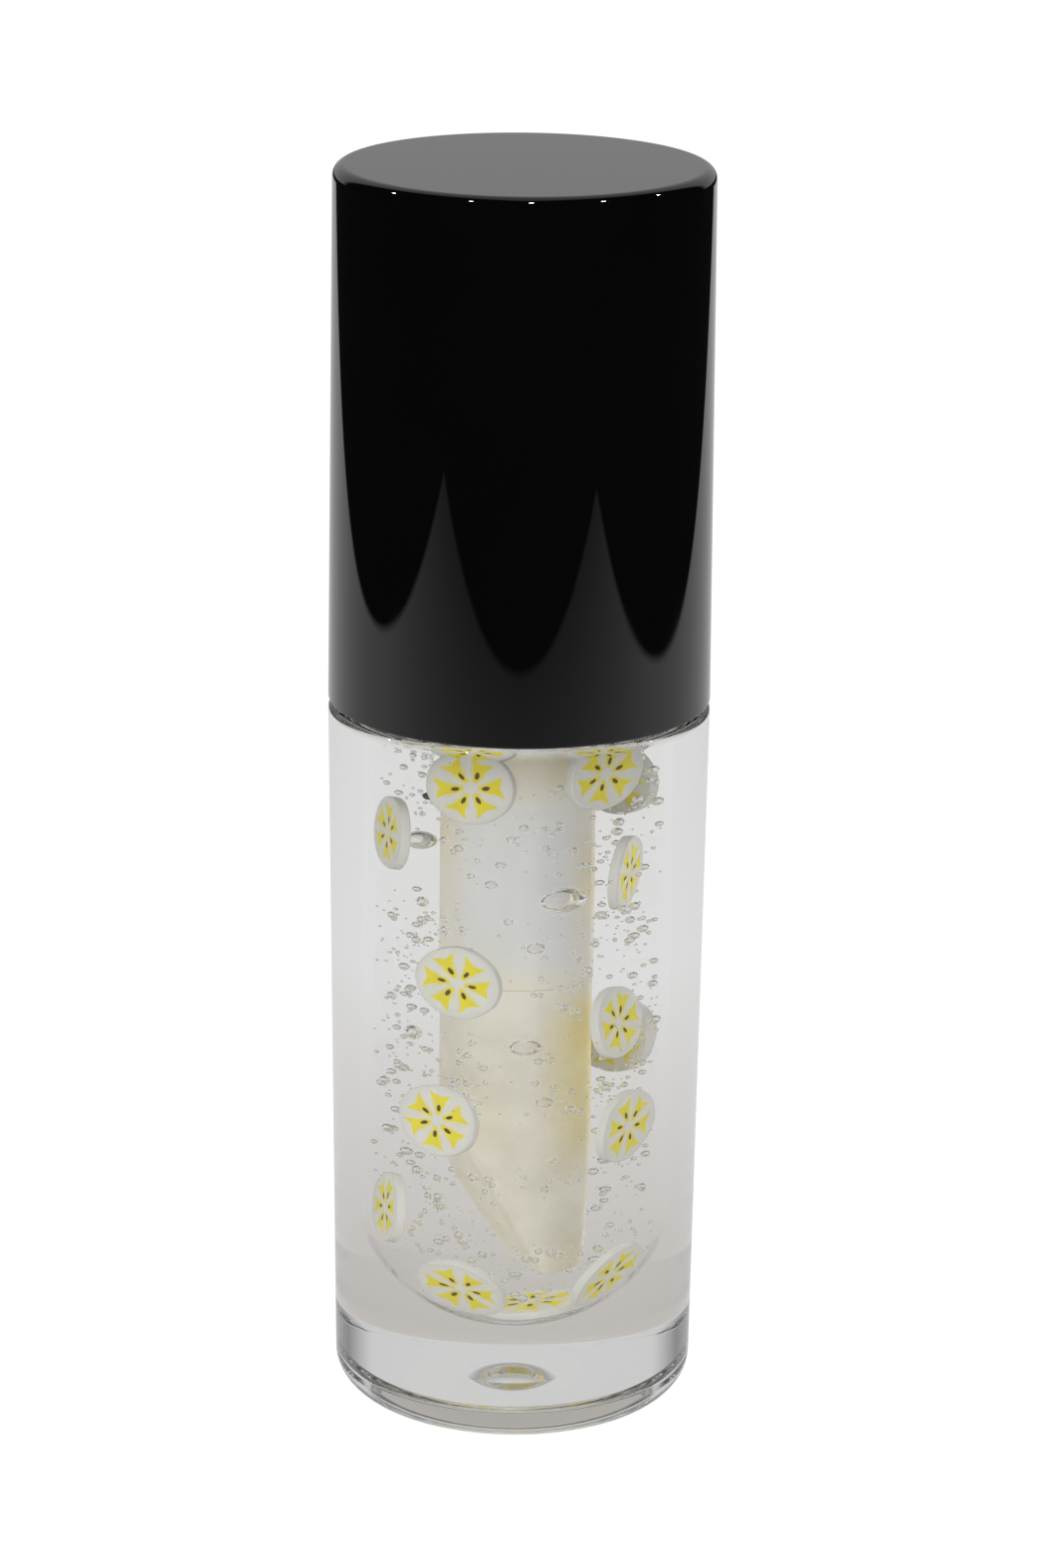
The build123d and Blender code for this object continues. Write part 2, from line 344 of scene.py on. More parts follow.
# ---------------------------------------------------------------------------------------------
# Fruit slices. Each is cut from a rolled cane of polymer clay, so the same six yellow segments
# with a seed run through all of them. Cutting leaves the rims a little uneven.
# ---------------------------------------------------------------------------------------------
slice_names = sorted(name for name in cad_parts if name.startswith("fruit_slice"))
slice_radius = 2.2 * mm
slice_thickness = 0.5 * mm

clay, tree, shader = new_material("fruit_slice_clay")


def calc(operation, first, second=0.0, third=0.0):
    """One step of arithmetic on sockets or numbers, in the material that is being built."""
    step = node(tree, "ShaderNodeMath", operation=operation)
    for socket, value in zip(step.inputs, (first, second, third)):
        if isinstance(value, (int, float)):
            socket.default_value = value
        else:
            tree.links.new(value, socket)
    return step.outputs[0]


def edge_step(value, limit, blur=0.02):
    """1 where value is under limit, 0 past it, blended over a narrow band."""
    gap = calc("SUBTRACT", limit, value)
    scaled = calc("MULTIPLY_ADD", gap, 1 / (2 * blur), 0.5)
    return calc("MINIMUM", calc("MAXIMUM", scaled, 0.0), 1.0)


def blend_colour(below, above, amount):
    """Mixes two colours, sockets or plain, by an amount."""
    mix = node(tree, "ShaderNodeMix", data_type="RGBA")
    sockets = [s for s in mix.inputs if s.type == "RGBA"]
    for socket, value in zip(sockets, (below, above)):
        if isinstance(value, tuple):
            socket.default_value = value
        else:
            tree.links.new(value, socket)
    tree.links.new(amount, mix.inputs["Factor"])
    return [s for s in mix.outputs if s.type == "RGBA"][0]


segments = 6
wobble_reach = 0.11
centring = -1.0 - wobble_reach
uv = node(tree, "ShaderNodeUVMap", uv_map="cut_face").outputs["UV"]
wobble = node(tree, "ShaderNodeTexNoise", Scale=420.0, Detail=2.0)
place = node(tree, "ShaderNodeTexCoord").outputs["Object"]
tree.links.new(place, wobble.inputs["Vector"])
shifted = node(tree, "ShaderNodeVectorMath", operation="MULTIPLY_ADD")
tree.links.new(wobble.outputs["Color"], shifted.inputs[0])
shifted.inputs[1].default_value = (wobble_reach, wobble_reach, 0)
tree.links.new(uv, shifted.inputs[2])
split = node(tree, "ShaderNodeSeparateXYZ")
tree.links.new(shifted.outputs["Vector"], split.inputs[0])
across = calc("MULTIPLY_ADD", split.outputs["X"], 2.0, centring)
along = calc("MULTIPLY_ADD", split.outputs["Y"], 2.0, centring)
distance = calc("SQRT", calc("ADD", calc("POWER", across, 2.0), calc("POWER", along, 2.0)))
angle = calc("ARCTAN2", along, across)
sector = calc("MULTIPLY_ADD", angle, segments / (2 * math.pi), 0.5)
from_middle = calc("SUBTRACT", calc("FRACT", calc("ADD", sector, segments)), 0.5)
swing = calc("ABSOLUTE", calc("MULTIPLY", from_middle, 2 * math.pi / segments))
outwards = calc("MULTIPLY", distance, calc("COSINE", swing))
sideways = calc("MULTIPLY", distance, calc("SINE", swing))
flare = calc("POWER", calc("MAXIMUM", calc("SUBTRACT", outwards, 0.5), 0.0), 1.6)
wedge = calc("MULTIPLY_ADD", outwards, 0.3, -0.005)
half_width = calc("MULTIPLY_ADD", flare, 0.45, wedge)
in_width = edge_step(sideways, half_width)
outer_limit = calc("MULTIPLY_ADD", sideways, 0.32, 0.7)
in_length = calc("MULTIPLY", edge_step(outwards, outer_limit), edge_step(0.16, outwards))
flesh = calc("MULTIPLY", in_width, in_length)
seed_x = calc("DIVIDE", calc("SUBTRACT", outwards, 0.36), 0.1)
seed_y = calc("DIVIDE", sideways, 0.05)
seed = edge_step(calc("ADD", calc("POWER", seed_x, 2.0), calc("POWER", seed_y, 2.0)), 1.0, 0.35)
gap_swing = calc("SUBTRACT", math.pi / segments, swing)
gap_side = calc("MULTIPLY", distance, calc("SINE", gap_swing))
vein_middle = calc("MULTIPLY_ADD", distance, 0.16, 0.005)
vein_place = calc("ABSOLUTE", calc("SUBTRACT", gap_side, vein_middle))
vein_span = calc("MULTIPLY", edge_step(distance, 0.6), edge_step(0.17, distance))
vein_strength = 0.55
vein = calc("MULTIPLY", edge_step(vein_place, 0.016, 0.012), vein_span)
vein = calc("MULTIPLY", vein, vein_strength)
mottle = object_noise(tree, 1500, 4.0)
white = blend_colour((0.54, 0.54, 0.49, 1), (0.64, 0.64, 0.59, 1), mottle)
yellow = blend_colour((0.60, 0.52, 0.025, 1), (0.72, 0.63, 0.05, 1), mottle)
painted = blend_colour(white, yellow, calc("MAXIMUM", flesh, vein))
seed_brown = (0.09, 0.055, 0.02, 1)
painted = blend_colour(painted, seed_brown, seed)
rim_grey = (0.56, 0.56, 0.52, 1)
rim = edge_step(0.9, distance, 0.06)
painted = blend_colour(painted, rim_grey, rim)
tree.links.new(painted, shader.inputs["Base Color"])
shader.inputs["Specular IOR Level"].default_value = 0.12
shader.inputs["Subsurface Weight"].default_value = 0.15
shader.inputs["Subsurface Scale"].default_value = 0.4 * mm
tree.links.new(remap(tree, mottle, 0.4, 0.6), shader.inputs["Roughness"])
bump(tree, shader, mottle, 0.2, 0.03 * mm)


def slice_plane(mesh):
    """The middle of a CAD slice and the direction that its flat faces look."""
    total = sum(p.area for p in mesh.polygons)
    middle = sum((p.center * p.area for p in mesh.polygons), Vector()) / total
    flattest = max(mesh.polygons, key=lambda p: p.area).normal
    aligned = [p for p in mesh.polygons if abs(p.normal.dot(flattest)) > 0.999]
    normal = sum((p.normal * p.area * (1 if p.normal.dot(flattest) > 0 else -1) for p in aligned),
                 Vector())
    return middle, normal.normalized()


# Each slice's turn in its own plane, in degrees, in the order of their names.
slice_turns = [8, 20, 47, 33, 12, 55, 5, 38, 26, 50, 15, 42, 3, 29, 51, 18, 36]
for number, (name, turn) in enumerate(zip(slice_names, slice_turns)):
    middle, normal = slice_plane(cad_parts[name].data)
    faces_axis = normal.dot(Vector((middle.x, middle.y, 0))) < 0
    lies_upside_down = name == slice_names[-1] and normal.z < 0
    if faces_axis or lies_upside_down:
        normal.negate()
    bm = bmesh.new()
    bmesh.ops.create_circle(bm, cap_ends=True, segments=72, radius=slice_radius)
    bmesh.ops.inset_region(bm, faces=bm.faces[:], thickness=0.25 * mm, depth=0)
    lifted = bmesh.ops.extrude_face_region(bm, geom=bm.faces[:])
    moved = [item for item in lifted["geom"] if isinstance(item, bmesh.types.BMVert)]
    bmesh.ops.translate(bm, verts=moved, vec=(0, 0, slice_thickness))
    bmesh.ops.translate(bm, verts=bm.verts, vec=(0, 0, -slice_thickness / 2))
    bmesh.ops.recalc_face_normals(bm, faces=bm.faces)
    rims = [e for e in bm.edges if len(e.link_faces) == 2 and e.calc_face_angle(0) > 1.2]
    bmesh.ops.bevel(
        bm, geom=rims, offset=0.1 * mm, segments=4, profile=0.5, affect="EDGES", material=-1,
    )
    layer = bm.loops.layers.uv.new("cut_face")
    for face in bm.faces:
        for loop in face.loops:
            x, y = loop.vert.co.xy / (2 * slice_radius)
            loop[layer].uv = (x + 0.5, y + 0.5)
    for vert in bm.verts:
        reach = vert.co.xy.length / slice_radius
        around = Vector((vert.co.x, vert.co.y, 0)).normalized() * 1.5
        uneven = noise.noise(around + Vector((0, 0, 7.3 * number)))
        vert.co.x *= 1 - 0.03 * (0.5 + uneven) * reach
        vert.co.y *= 1 - 0.03 * (0.5 + uneven) * reach
        vert.co.z *= 0.96 - 0.05 * noise.noise(vert.co * 600 + Vector((number, 0, 0)))
    shade(bm, 40)
    upright = Vector((0, 0, 1)) if abs(normal.z) < 0.95 else Vector((0, 1, 0))
    side = upright.cross(normal).normalized()
    lift = normal.cross(side)
    seat = Matrix((side, lift, normal)).transposed().to_4x4()
    spin = Matrix.Rotation(math.radians(turn), 4, "Z")
    bmesh.ops.transform(bm, matrix=Matrix.Translation(middle) @ seat @ spin, verts=bm.verts)
    slice_piece = piece(name.replace("fruit_slice", "clay_slice"), bm, [clay])
    slice_piece.visible_shadow = False
    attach(slice_piece, "bottle")
    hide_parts(name)

# ---------------------------------------------------------------------------------------------
# Bubbles. Air trapped in the gel when it was filled: over a thousand tiny ones between the wand
# and the wall, and a few large ones pressed wide against the wand.
# ---------------------------------------------------------------------------------------------
air = bpy.data.materials.new("air_in_gel")
air.use_nodes = True
tree = air.node_tree
tree.nodes.clear()
skin = node(tree, "ShaderNodeBsdfGlass", IOR=1 / gel_index, Roughness=0.0)
surface = node(tree, "ShaderNodeOutputMaterial")
tree.links.new(skin.outputs["BSDF"], surface.inputs["Surface"])

discs = [slice_plane(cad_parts[name].data) for name in slice_names]
stem_radius = 3.0 * mm
tip_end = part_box("tip_flock")[0][2]


def free_of_solids(point, size):
    """Whether a bubble is clear of the wall, the wand and every slice."""
    spare = 0.03 * mm
    across = point.xy.length
    below = min(0.0, point.z - dome_centre)
    if math.hypot(across, below) > bore_radius - size - spare:
        return False
    if across < stem_radius + size + spare and point.z > tip_end - size - spare:
        return False
    for centre, facing in discs:
        offset = point - centre
        height = abs(offset.dot(facing))
        reach = (offset - facing * offset.dot(facing)).length
        if height < slice_thickness / 2 + size + spare and reach < slice_radius + size + spare:
            return False
    return True


def at(azimuth, height, radius):
    """A point by its azimuth from the front (degrees), height and distance from the axis (mm)."""
    heading = math.radians(azimuth)
    return Vector((math.sin(heading) * radius, -math.cos(heading) * radius, height)) * mm


bubble_count = 1300
smallest_bubble = 0.06 * mm
bubble_spread = 0.24 * mm
finer_past = 0.16 * mm

# Large bubbles: azimuth, height and distance from the axis, radius (mm) and sideways stretch.
large_bubbles = [
    (29, 32.0, 4.25, 0.72, 1.55),
    (6, 23.2, 4.3, 0.5, 1.5),
    (12, 29.2, 4.2, 0.34, 1.3),
    (-16, 33.0, 4.3, 0.24, 1.3),
    (-60, 31.4, 4.7, 0.3, 1.2),
    (18, 19.8, 4.4, 0.3, 1.4),
    (160, 22.5, 4.3, 0.5, 1.4),
    (-130, 34.0, 4.4, 0.55, 1.4),
    (-70, 23.2, 4.6, 0.42, 1.2),
    (-10, 34.2, 4.3, 0.2, 1.3),
]
bm = bmesh.new()
for azimuth, height, radius, size, stretch in large_bubbles:
    squeeze = Matrix.Diagonal((stretch, 0.9, 1, 1))
    heading = Matrix.Rotation(math.radians(azimuth), 4, "Z")
    place = Matrix.Translation(at(azimuth, height, radius))
    bmesh.ops.create_icosphere(
        bm, subdivisions=4, radius=size * mm, matrix=place @ heading @ squeeze,
    )
shade(bm, 180)
bubbles = piece("bubbles_large", bm, [air])
bubbles.visible_shadow = False
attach(bubbles, "bottle")

draw = random.Random(41)
bm = bmesh.new()
large_places = [(at(a, h, r), s * mm * stretch) for a, h, r, s, stretch in large_bubbles]
round_shapes = []
for sides in (8, 10):
    one = bmesh.new()
    bmesh.ops.create_uvsphere(one, u_segments=sides, v_segments=sides * 2 // 3, radius=1)
    shape = bpy.data.meshes.new("bubble_shape")
    one.to_mesh(shape)
    one.free()
    round_shapes.append(shape)
made = 0
while made < bubble_count:
    size = smallest_bubble + bubble_spread * draw.random() ** 3.2
    azimuth = draw.uniform(-180, 180)
    height = draw.uniform(5.5, 42.5)
    point = at(azimuth, height, 5.55 * math.sqrt(draw.random()))
    cluster = noise.noise(point * 260 + Vector((3, 1, 8)))
    if cluster < draw.uniform(-0.25, 0.25) or not free_of_solids(point, size):
        continue
    if any((point - other).length < size + reach for other, reach in large_places):
        continue
    shape = round_shapes[1] if size > finer_past else round_shapes[0]
    sphere = shape.copy()
    sphere.transform(Matrix.Translation(point) @ Matrix.Diagonal((size, size, size * 0.85, 1)))
    bm.from_mesh(sphere)
    bpy.data.meshes.remove(sphere)
    made += 1
shade(bm, 180)
bubbles = piece("bubbles_small", bm, [air])
bubbles.visible_shadow = False
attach(bubbles, "bottle")

# ---------------------------------------------------------------------------------------------
# Loose seed. One black grain that broke out of a slice and floats beside it, a little longer
# than it is thick.
# ---------------------------------------------------------------------------------------------
seed_coat, tree, shader = new_material("loose_seed")
shader.inputs["Roughness"].default_value = 0.5
seed_tint = blend_colour((0.02, 0.017, 0.012, 1), (0.06, 0.05, 0.035, 1), object_noise(tree, 3000))
tree.links.new(seed_tint, shader.inputs["Base Color"])
bm = bmesh.new()
bmesh.ops.create_icosphere(
    bm, subdivisions=3, radius=0.26 * mm,
    matrix=Matrix.Translation(at(-52, 37.9, 4.9)) @ Matrix.Diagonal((1.25, 0.8, 0.85, 1)),
)
for vert in bm.verts:
    vert.co += vert.co.normalized() * 0.03 * mm * noise.noise(vert.co * 9000)
shade(bm, 180)
seed_piece = piece("loose_seed", bm, [seed_coat])
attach(seed_piece, "bottle")

# ---------------------------------------------------------------------------------------------
# Wand stem. Frosted rod, moulded with the flanged head that sits above the inner cap's web.
# ---------------------------------------------------------------------------------------------
stem_low, stem_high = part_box("wand_stem")
head_radius = stem_high[0]
head_thickness = 1.2 * mm
head_under = stem_high[2] - head_thickness
plug_radius = 1.52 * mm
plug_depth = 7.52 * mm

frosted, tree, shader = new_material("frosted_stem")
shader.inputs["IOR"].default_value = 1.49
shader.inputs["Specular IOR Level"].default_value = 0.15
cloudy = object_noise(tree, 160, 3.0, (1, 1, 0.4))
grey = blend_colour((0.62, 0.62, 0.61, 1), (0.70, 0.70, 0.695, 1), cloudy)
split = node(tree, "ShaderNodeSeparateXYZ")
tree.links.new(node(tree, "ShaderNodeTexCoord").outputs["Object"], split.inputs[0])
# The beige bands down the stem's left and right sides are a painted reflection.
painted_edge_reflection = remap(tree, calc("ABSOLUTE", split.outputs["X"]), 0.0, 0.8, 1.9 * mm, 2.9 * mm)
wiped = remap(tree, split.outputs["Z"], 0.0, 1.0, 36.5 * mm, 39.5 * mm)
soaked = remap(tree, split.outputs["Z"], 0.9, 0.0, stem_low[2], stem_low[2] + 2.2 * mm)
stain_and_reflection_mask = calc("MAXIMUM", painted_edge_reflection, calc("MAXIMUM", wiped, soaked))
stain_and_reflection_beige = (0.70, 0.66, 0.55, 1)
frost = blend_colour(grey, stain_and_reflection_beige, stain_and_reflection_mask)
tree.links.new(frost, shader.inputs["Base Color"])
tree.links.new(remap(tree, object_noise(tree, 700), 0.4, 0.55), shader.inputs["Roughness"])
bump(tree, shader, object_noise(tree, 3000), 0.1, 0.02 * mm)
bm = turned(rounded([
    (0, stem_low[2] + plug_depth, 0),
    (plug_radius, stem_low[2] + plug_depth, 0),
    (plug_radius, stem_low[2], 0.1 * mm),
    (stem_radius, stem_low[2], 0.15 * mm),
    (stem_radius, head_under, 0),
    (head_radius, head_under, 0.12 * mm),
    (head_radius, stem_high[2], 0.2 * mm),
    (0, stem_high[2], 0),
]), 128)
shade(bm)
stem = piece("stem_rod", bm, [frosted])
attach(stem, "cap")
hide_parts("wand_stem")

# ---------------------------------------------------------------------------------------------
# Applicator tip. A soft doe-foot core plugged into the stem, covered in short beige fibres that
# the gel has soaked, so the flock looks even with a fine mottled nap.
# ---------------------------------------------------------------------------------------------
soft_core, tree, shader = new_material("tip_core_plastic")
shader.inputs["Specular IOR Level"].default_value = 0.3
tint = node(tree, "ShaderNodeValToRGB")
tint.color_ramp.elements[0].color = (0.66, 0.6, 0.5, 1)
tint.color_ramp.elements[1].color = (0.72, 0.66, 0.57, 1)
tree.links.new(object_noise(tree, 300), tint.inputs["Fac"])
tree.links.new(tint.outputs["Color"], shader.inputs["Base Color"])
tree.links.new(remap(tree, object_noise(tree, 900), 0.5, 0.65), shader.inputs["Roughness"])
dress("tip_core", soft_core)

flock, tree, shader = new_material("beige_flock")
shader.inputs["Specular IOR Level"].default_value = 0.1
shader.inputs["Sheen Weight"].default_value = 0.25
shader.inputs["Sheen Roughness"].default_value = 0.5
shader.inputs["Sheen Tint"].default_value = (0.9, 0.85, 0.75, 1)
tint = node(tree, "ShaderNodeValToRGB")
tint.color_ramp.elements[0].color = (0.57, 0.54, 0.455, 1)
tint.color_ramp.elements[0].position = 0.3
tint.color_ramp.elements[1].color = (0.68, 0.65, 0.56, 1)
tint.color_ramp.elements[1].position = 0.7
tree.links.new(object_noise(tree, 420, 5.0), tint.inputs["Fac"])
split = node(tree, "ShaderNodeSeparateXYZ")
tree.links.new(node(tree, "ShaderNodeTexCoord").outputs["Object"], split.inputs[0])
thin_nap = remap(tree, split.outputs["Z"], 0.0, 1.0, stem_low[2] - 3.5 * mm, stem_low[2])
nap = blend_colour(tint.outputs["Color"], (0.70, 0.68, 0.61, 1), thin_nap)
# Painted light: the yellow glow that light from the nearby slices casts on one side of the nap.
painted_light_yellow = (0.76, 0.64, 0.22, 1)
light_side = remap(tree, split.outputs["X"], 0.0, 0.55, 0.9 * mm, 2.6 * mm)
light_height = calc("MULTIPLY", remap(tree, split.outputs["Z"], 0.0, 1.0, 14 * mm, 20 * mm),
                   remap(tree, split.outputs["Z"], 1.0, 0.0, 24 * mm, 26.5 * mm))
nap = blend_colour(nap, painted_light_yellow, calc("MULTIPLY", light_side, light_height))
tree.links.new(nap, shader.inputs["Base Color"])
tree.links.new(remap(tree, object_noise(tree, 5000), 0.75, 0.95), shader.inputs["Roughness"])
bump(tree, shader, object_noise(tree, 9000, 2.0), 0.5, 0.06 * mm)
bm = bmesh.new()
bm.from_mesh(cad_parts["tip_flock"].data)
bmesh.ops.remove_doubles(bm, verts=bm.verts, dist=0.0001 * mm)
shade(bm, 50)
tip = piece("flock_nap", bm, [flock])
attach(tip, "cap")
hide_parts("tip_flock")

# ---------------------------------------------------------------------------------------------
# Cap shell. Tall black cap, injection moulded and polished to a mirror, slightly narrower at its
# flat top. Handling has left its polish slightly uneven.
# ---------------------------------------------------------------------------------------------
shell_low, shell_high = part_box("cap_shell")
shell_rim_radius = 11.0 * mm
shell_top_radius = 10.75 * mm
shell_bore = 9.6 * mm
shell_ceiling = shell_high[2] - 1.5 * mm
shell_edge = 0.7 * mm

black, tree, shader = new_material("polished_black")
shader.inputs["IOR"].default_value = 1.5
tint = node(tree, "ShaderNodeValToRGB")
tint.color_ramp.elements[0].color = (0.0006, 0.0006, 0.0007, 1)
tint.color_ramp.elements[1].color = (0.0012, 0.0012, 0.0014, 1)
tree.links.new(object_noise(tree, 90), tint.inputs["Fac"])
tree.links.new(tint.outputs["Color"], shader.inputs["Base Color"])
scuffs = object_noise(tree, 420, 6.0, (1, 1, 0.12))
tree.links.new(remap(tree, scuffs, 0.012, 0.05, 0.45, 0.75), shader.inputs["Roughness"])
bump(tree, shader, object_noise(tree, 60, 2.0), 0.02, 0.05 * mm)
bm = turned(rounded([
    (0, shell_high[2], 0),
    (shell_top_radius, shell_high[2], shell_edge),
    (shell_rim_radius, shell_low[2], 0.12 * mm),
    (shell_bore, shell_low[2], 0.15 * mm),
    (shell_bore, shell_ceiling, 0.3 * mm),
    (0, shell_ceiling, 0),
]))
shade(bm)
shell = piece("cap_black", bm, [black])
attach(shell, "cap")
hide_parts("cap_shell")

# ---------------------------------------------------------------------------------------------
# Inner cap and seal washer. The white threaded liner pressed into the shell, and the soft ring
# that seals it against the wiper's flange.
# ---------------------------------------------------------------------------------------------
liner, tree, shader = new_material("liner_plastic")
tint = node(tree, "ShaderNodeValToRGB")
tint.color_ramp.elements[0].color = (0.68, 0.68, 0.65, 1)
tint.color_ramp.elements[1].color = (0.76, 0.76, 0.74, 1)
tree.links.new(object_noise(tree, 200), tint.inputs["Fac"])
tree.links.new(tint.outputs["Color"], shader.inputs["Base Color"])
tree.links.new(remap(tree, object_noise(tree, 800), 0.3, 0.42), shader.inputs["Roughness"])
bump(tree, shader, object_noise(tree, 2200), 0.1, 0.02 * mm)
dress("inner_cap", liner)

foam, tree, shader = new_material("washer_foam")
tint = node(tree, "ShaderNodeValToRGB")
tint.color_ramp.elements[0].color = (0.7, 0.7, 0.68, 1)
tint.color_ramp.elements[1].color = (0.82, 0.82, 0.8, 1)
tree.links.new(object_noise(tree, 2500, 4.0), tint.inputs["Fac"])
tree.links.new(tint.outputs["Color"], shader.inputs["Base Color"])
tree.links.new(remap(tree, object_noise(tree, 2500), 0.7, 0.9), shader.inputs["Roughness"])
bump(tree, shader, object_noise(tree, 6000, 4.0), 0.4, 0.05 * mm)
dress("seal_washer", foam)

# ---------------------------------------------------------------------------------------------
# Studio. A pale floor under a pale surround, lit by four soft lamps. The black cap mirrors a dim
# room in front of it, and five small lamps glint on its top edge.
# ---------------------------------------------------------------------------------------------
white_level = 1.05


def light_path(tree, kind):
    return node(tree, "ShaderNodeLightPath").outputs[kind]


def pick(tree, plain, special, where):
    """Chooses between two radiance values by a 0 to 1 socket."""
    mix = node(tree, "ShaderNodeMix", data_type="FLOAT")
    for socket, value in ((mix.inputs[2], plain), (mix.inputs[3], special)):
        if isinstance(value, (int, float)):
            socket.default_value = value
        else:
            tree.links.new(value, socket)
    tree.links.new(where, mix.inputs[0])
    return mix.outputs[0]


bm = bmesh.new()
bmesh.ops.create_grid(bm, x_segments=1, y_segments=1, size=3.0)
floor_paint = bpy.data.materials.new("pale_floor")
floor_paint.use_nodes = True
tree = floor_paint.node_tree
tree.nodes.clear()
coords = node(tree, "ShaderNodeTexCoord").outputs["Object"]
split = node(tree, "ShaderNodeSeparateXYZ")
tree.links.new(coords, split.inputs[0])
over_x = split.outputs["X"]
over_y = split.outputs["Y"]
span = calc("SQRT", calc("ADD", calc("POWER", over_x, 2.0), calc("POWER", over_y, 2.0)))
# What the clear body gathers from the floor: a painted contact shadow, dim under the base and
# brighter around it.
under_base = remap(tree, span, 0.85, 1.0, 8 * mm, 13 * mm)
near = calc("MULTIPLY", remap(tree, span, 0.42, 0.68, 0, 78 * mm), under_base)
# What the cap mirrors: a pale sheet that fades forwards, and the dark room past its edges.
sheet_front = -0.184
sheet_left = -0.190
sheet_right = 0.180
sheet_blur = 0.002
room_level = 0.012
fade = remap(tree, over_y, 0.16, 0.72, -0.19, -0.03)
in_width = calc("MULTIPLY", edge_step(sheet_left, over_x, sheet_blur),
                edge_step(over_x, sheet_right, sheet_blur))
sheet = calc("MULTIPLY", edge_step(sheet_front, over_y, sheet_blur), in_width)
mirrored = calc("MULTIPLY_ADD", sheet, fade, room_level)
forward = remap(tree, over_y, 0.35, 1.0, -0.17, -0.03)
room_through = 0.05
floor_light = 0.72
seen_through = calc("MULTIPLY_ADD", calc("MULTIPLY", sheet, forward), near, room_through)
level = pick(tree, floor_light, mirrored, light_path(tree, "Is Glossy Ray"))
level = pick(tree, level, seen_through, light_path(tree, "Is Transmission Ray"))
level = pick(tree, level, white_level, light_path(tree, "Is Camera Ray"))
# A painted warm tint on the contact shadow near the tube, seen only through the clear body.
warm_white = (1.0, 0.955, 0.905, 1)
closeness = remap(tree, span, 1.0, 0.0, 14 * mm, 75 * mm)
warmth = calc("MULTIPLY", light_path(tree, "Is Transmission Ray"), closeness)
glow = node(tree, "ShaderNodeEmission")
tree.links.new(level, glow.inputs["Strength"])
tree.links.new(blend_colour((1, 1, 1, 1), warm_white, warmth), glow.inputs["Color"])
surface = node(tree, "ShaderNodeOutputMaterial")
tree.links.new(glow.outputs["Emission"], surface.inputs["Surface"])
floor = piece("floor", bm, [floor_paint])
floor.location.z = -0.05 * mm

world = bpy.data.worlds.new("surround")
bpy.context.scene.world = world
world.use_nodes = True
tree = world.node_tree
tree.nodes.clear()
coords = node(tree, "ShaderNodeTexCoord").outputs["Generated"]
split = node(tree, "ShaderNodeSeparateXYZ")
tree.links.new(coords, split.inputs[0])
over_x = split.outputs["X"]
over_y = split.outputs["Y"]
span = calc("SQRT", calc("ADD", calc("POWER", over_x, 2.0), calc("POWER", over_y, 2.0)))
behind = calc("DIVIDE", over_y, span)
backdrop = remap(tree, behind, 0.012, 0.64, 0.66, 0.74)
# Through the clear body the wall behind looks dimmer, and the room in front is dark.
overhead = remap(tree, split.outputs["Z"], 0.78, 0.4, 0.4, 0.9)
around = calc("MULTIPLY", overhead, remap(tree, behind, 0.25, 1.0, 0.45, 0.72))
wall_light = 0.9
level = pick(tree, wall_light, backdrop, light_path(tree, "Is Glossy Ray"))
level = pick(tree, level, around, light_path(tree, "Is Transmission Ray"))
level = pick(tree, level, white_level, light_path(tree, "Is Camera Ray"))
glow = node(tree, "ShaderNodeBackground")
tree.links.new(level, glow.inputs["Strength"])
surface = node(tree, "ShaderNodeOutputWorld")
tree.links.new(glow.outputs["Background"], surface.inputs["Surface"])

centre_height = (cad_box[0][2] + cad_box[1][2]) / 2


def lamp(name, azimuth, elevation, distance, size, power):
    """A round area light aimed at the tube, placed by its direction from the front."""
    data = bpy.data.lights.new(name, "AREA")
    data.shape = "DISK"
    data.size = size
    data.energy = power
    heading = math.radians(azimuth)
    rise = math.radians(elevation)
    away = Vector((math.sin(heading) * math.cos(rise), -math.cos(heading) * math.cos(rise),
                   math.sin(rise)))
    target = Vector((0, 0, centre_height))
    obj = bpy.data.objects.new(name, data)
    obj.location = target + away * distance
    obj.rotation_euler = away.to_track_quat("Z", "Y").to_euler()
    bpy.context.scene.collection.objects.link(obj)
    return obj


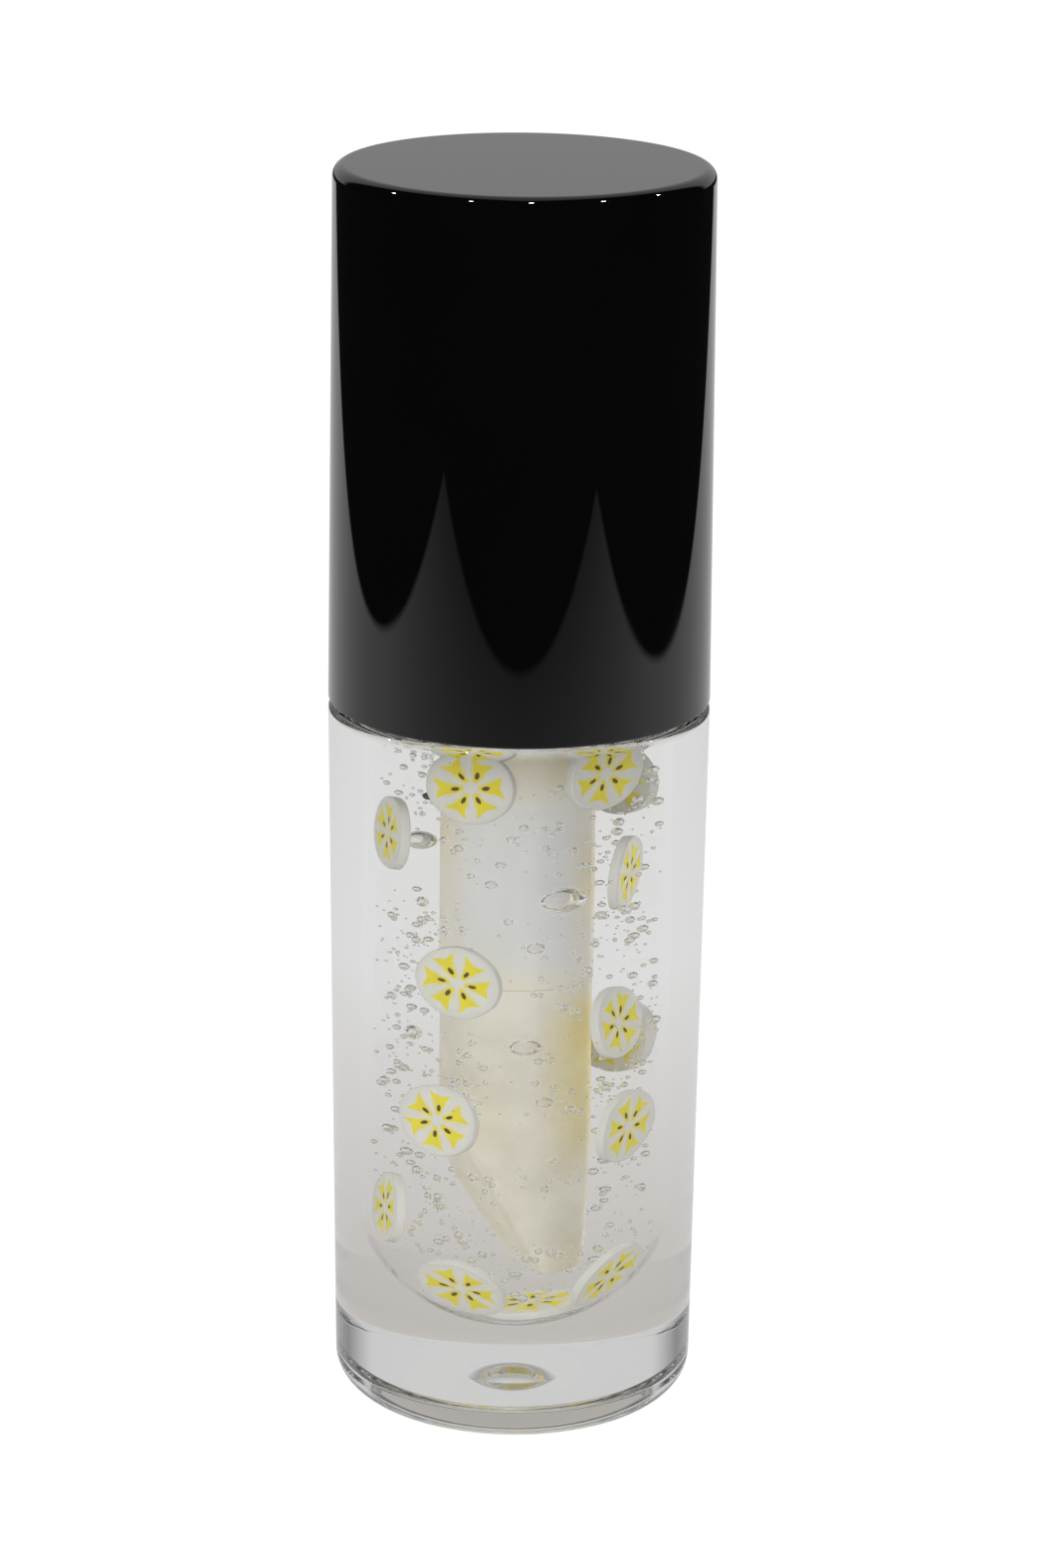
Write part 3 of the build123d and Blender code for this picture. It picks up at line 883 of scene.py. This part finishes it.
glint_directions = [(-100, 40), (-50, 62), (8, 70), (67, 55), (108, 42)]
glint_power = 0.6
for number, (azimuth, elevation) in enumerate(glint_directions):
    glint = lamp(f"glint_{number}", azimuth, elevation, 0.9, 0.03, glint_power)
    glint.visible_diffuse = False
    glint.visible_camera = False

# Soft lamps: name, azimuth, elevation and power.
soft_lamps = [
    ("soft_left", -38, 13, 4.6),
    ("soft_right", 50, 9, 5.4),
    ("soft_front", 8, 16, 1.4),
    ("soft_top", 170, 62, 3.0),
]
for name, azimuth, elevation, power in soft_lamps:
    soft = lamp(name, azimuth, elevation, 0.8, 0.7, power)
    soft.visible_camera = False
    soft.visible_glossy = False
    soft.visible_transmission = False

# The camera stands in front, looking down on the tube, turned slightly about its own view.
camera_data = bpy.data.cameras.new("camera")
camera_data.sensor_fit = "VERTICAL"
camera_data.sensor_height = 36.0
camera_data.lens = 111.97
camera_data.clip_start = 0.01
camera = bpy.data.objects.new("camera", camera_data)
bpy.context.scene.collection.objects.link(camera)
bpy.context.scene.camera = camera
elevation = math.radians(17.48)
distance_back = 282.7 * mm
look_from = Vector((0, -math.cos(elevation), math.sin(elevation)))
target = Vector((0, 0, 36.3 * mm))
aim_right = 0.256 * mm
aim_up = 0.649 * mm
roll = math.radians(0.62)
right = Vector((1, 0, 0))
up = right.cross(-look_from)
tilted_right = right * math.cos(roll) + up * math.sin(roll)
tilted_up = up * math.cos(roll) - right * math.sin(roll)
aim = target + tilted_right * aim_right + tilted_up * aim_up
camera.location = target + look_from * distance_back
back = (camera.location - aim).normalized()
tilted_right = tilted_up.cross(back).normalized()
tilted_up = back.cross(tilted_right)
turn = Matrix((tilted_right, tilted_up, back)).transposed()
camera.rotation_euler = turn.to_euler()

scene = bpy.context.scene
scene.view_settings.view_transform = "Standard"
scene.view_settings.look = "None"
scene.cycles.max_bounces = 28
scene.cycles.transmission_bounces = 28
scene.cycles.glossy_bounces = 12
scene.cycles.diffuse_bounces = 4
scene.cycles.transparent_max_bounces = 12
scene.cycles.caustics_reflective = True
scene.cycles.caustics_refractive = True
scene.cycles.sample_clamp_indirect = 6.0
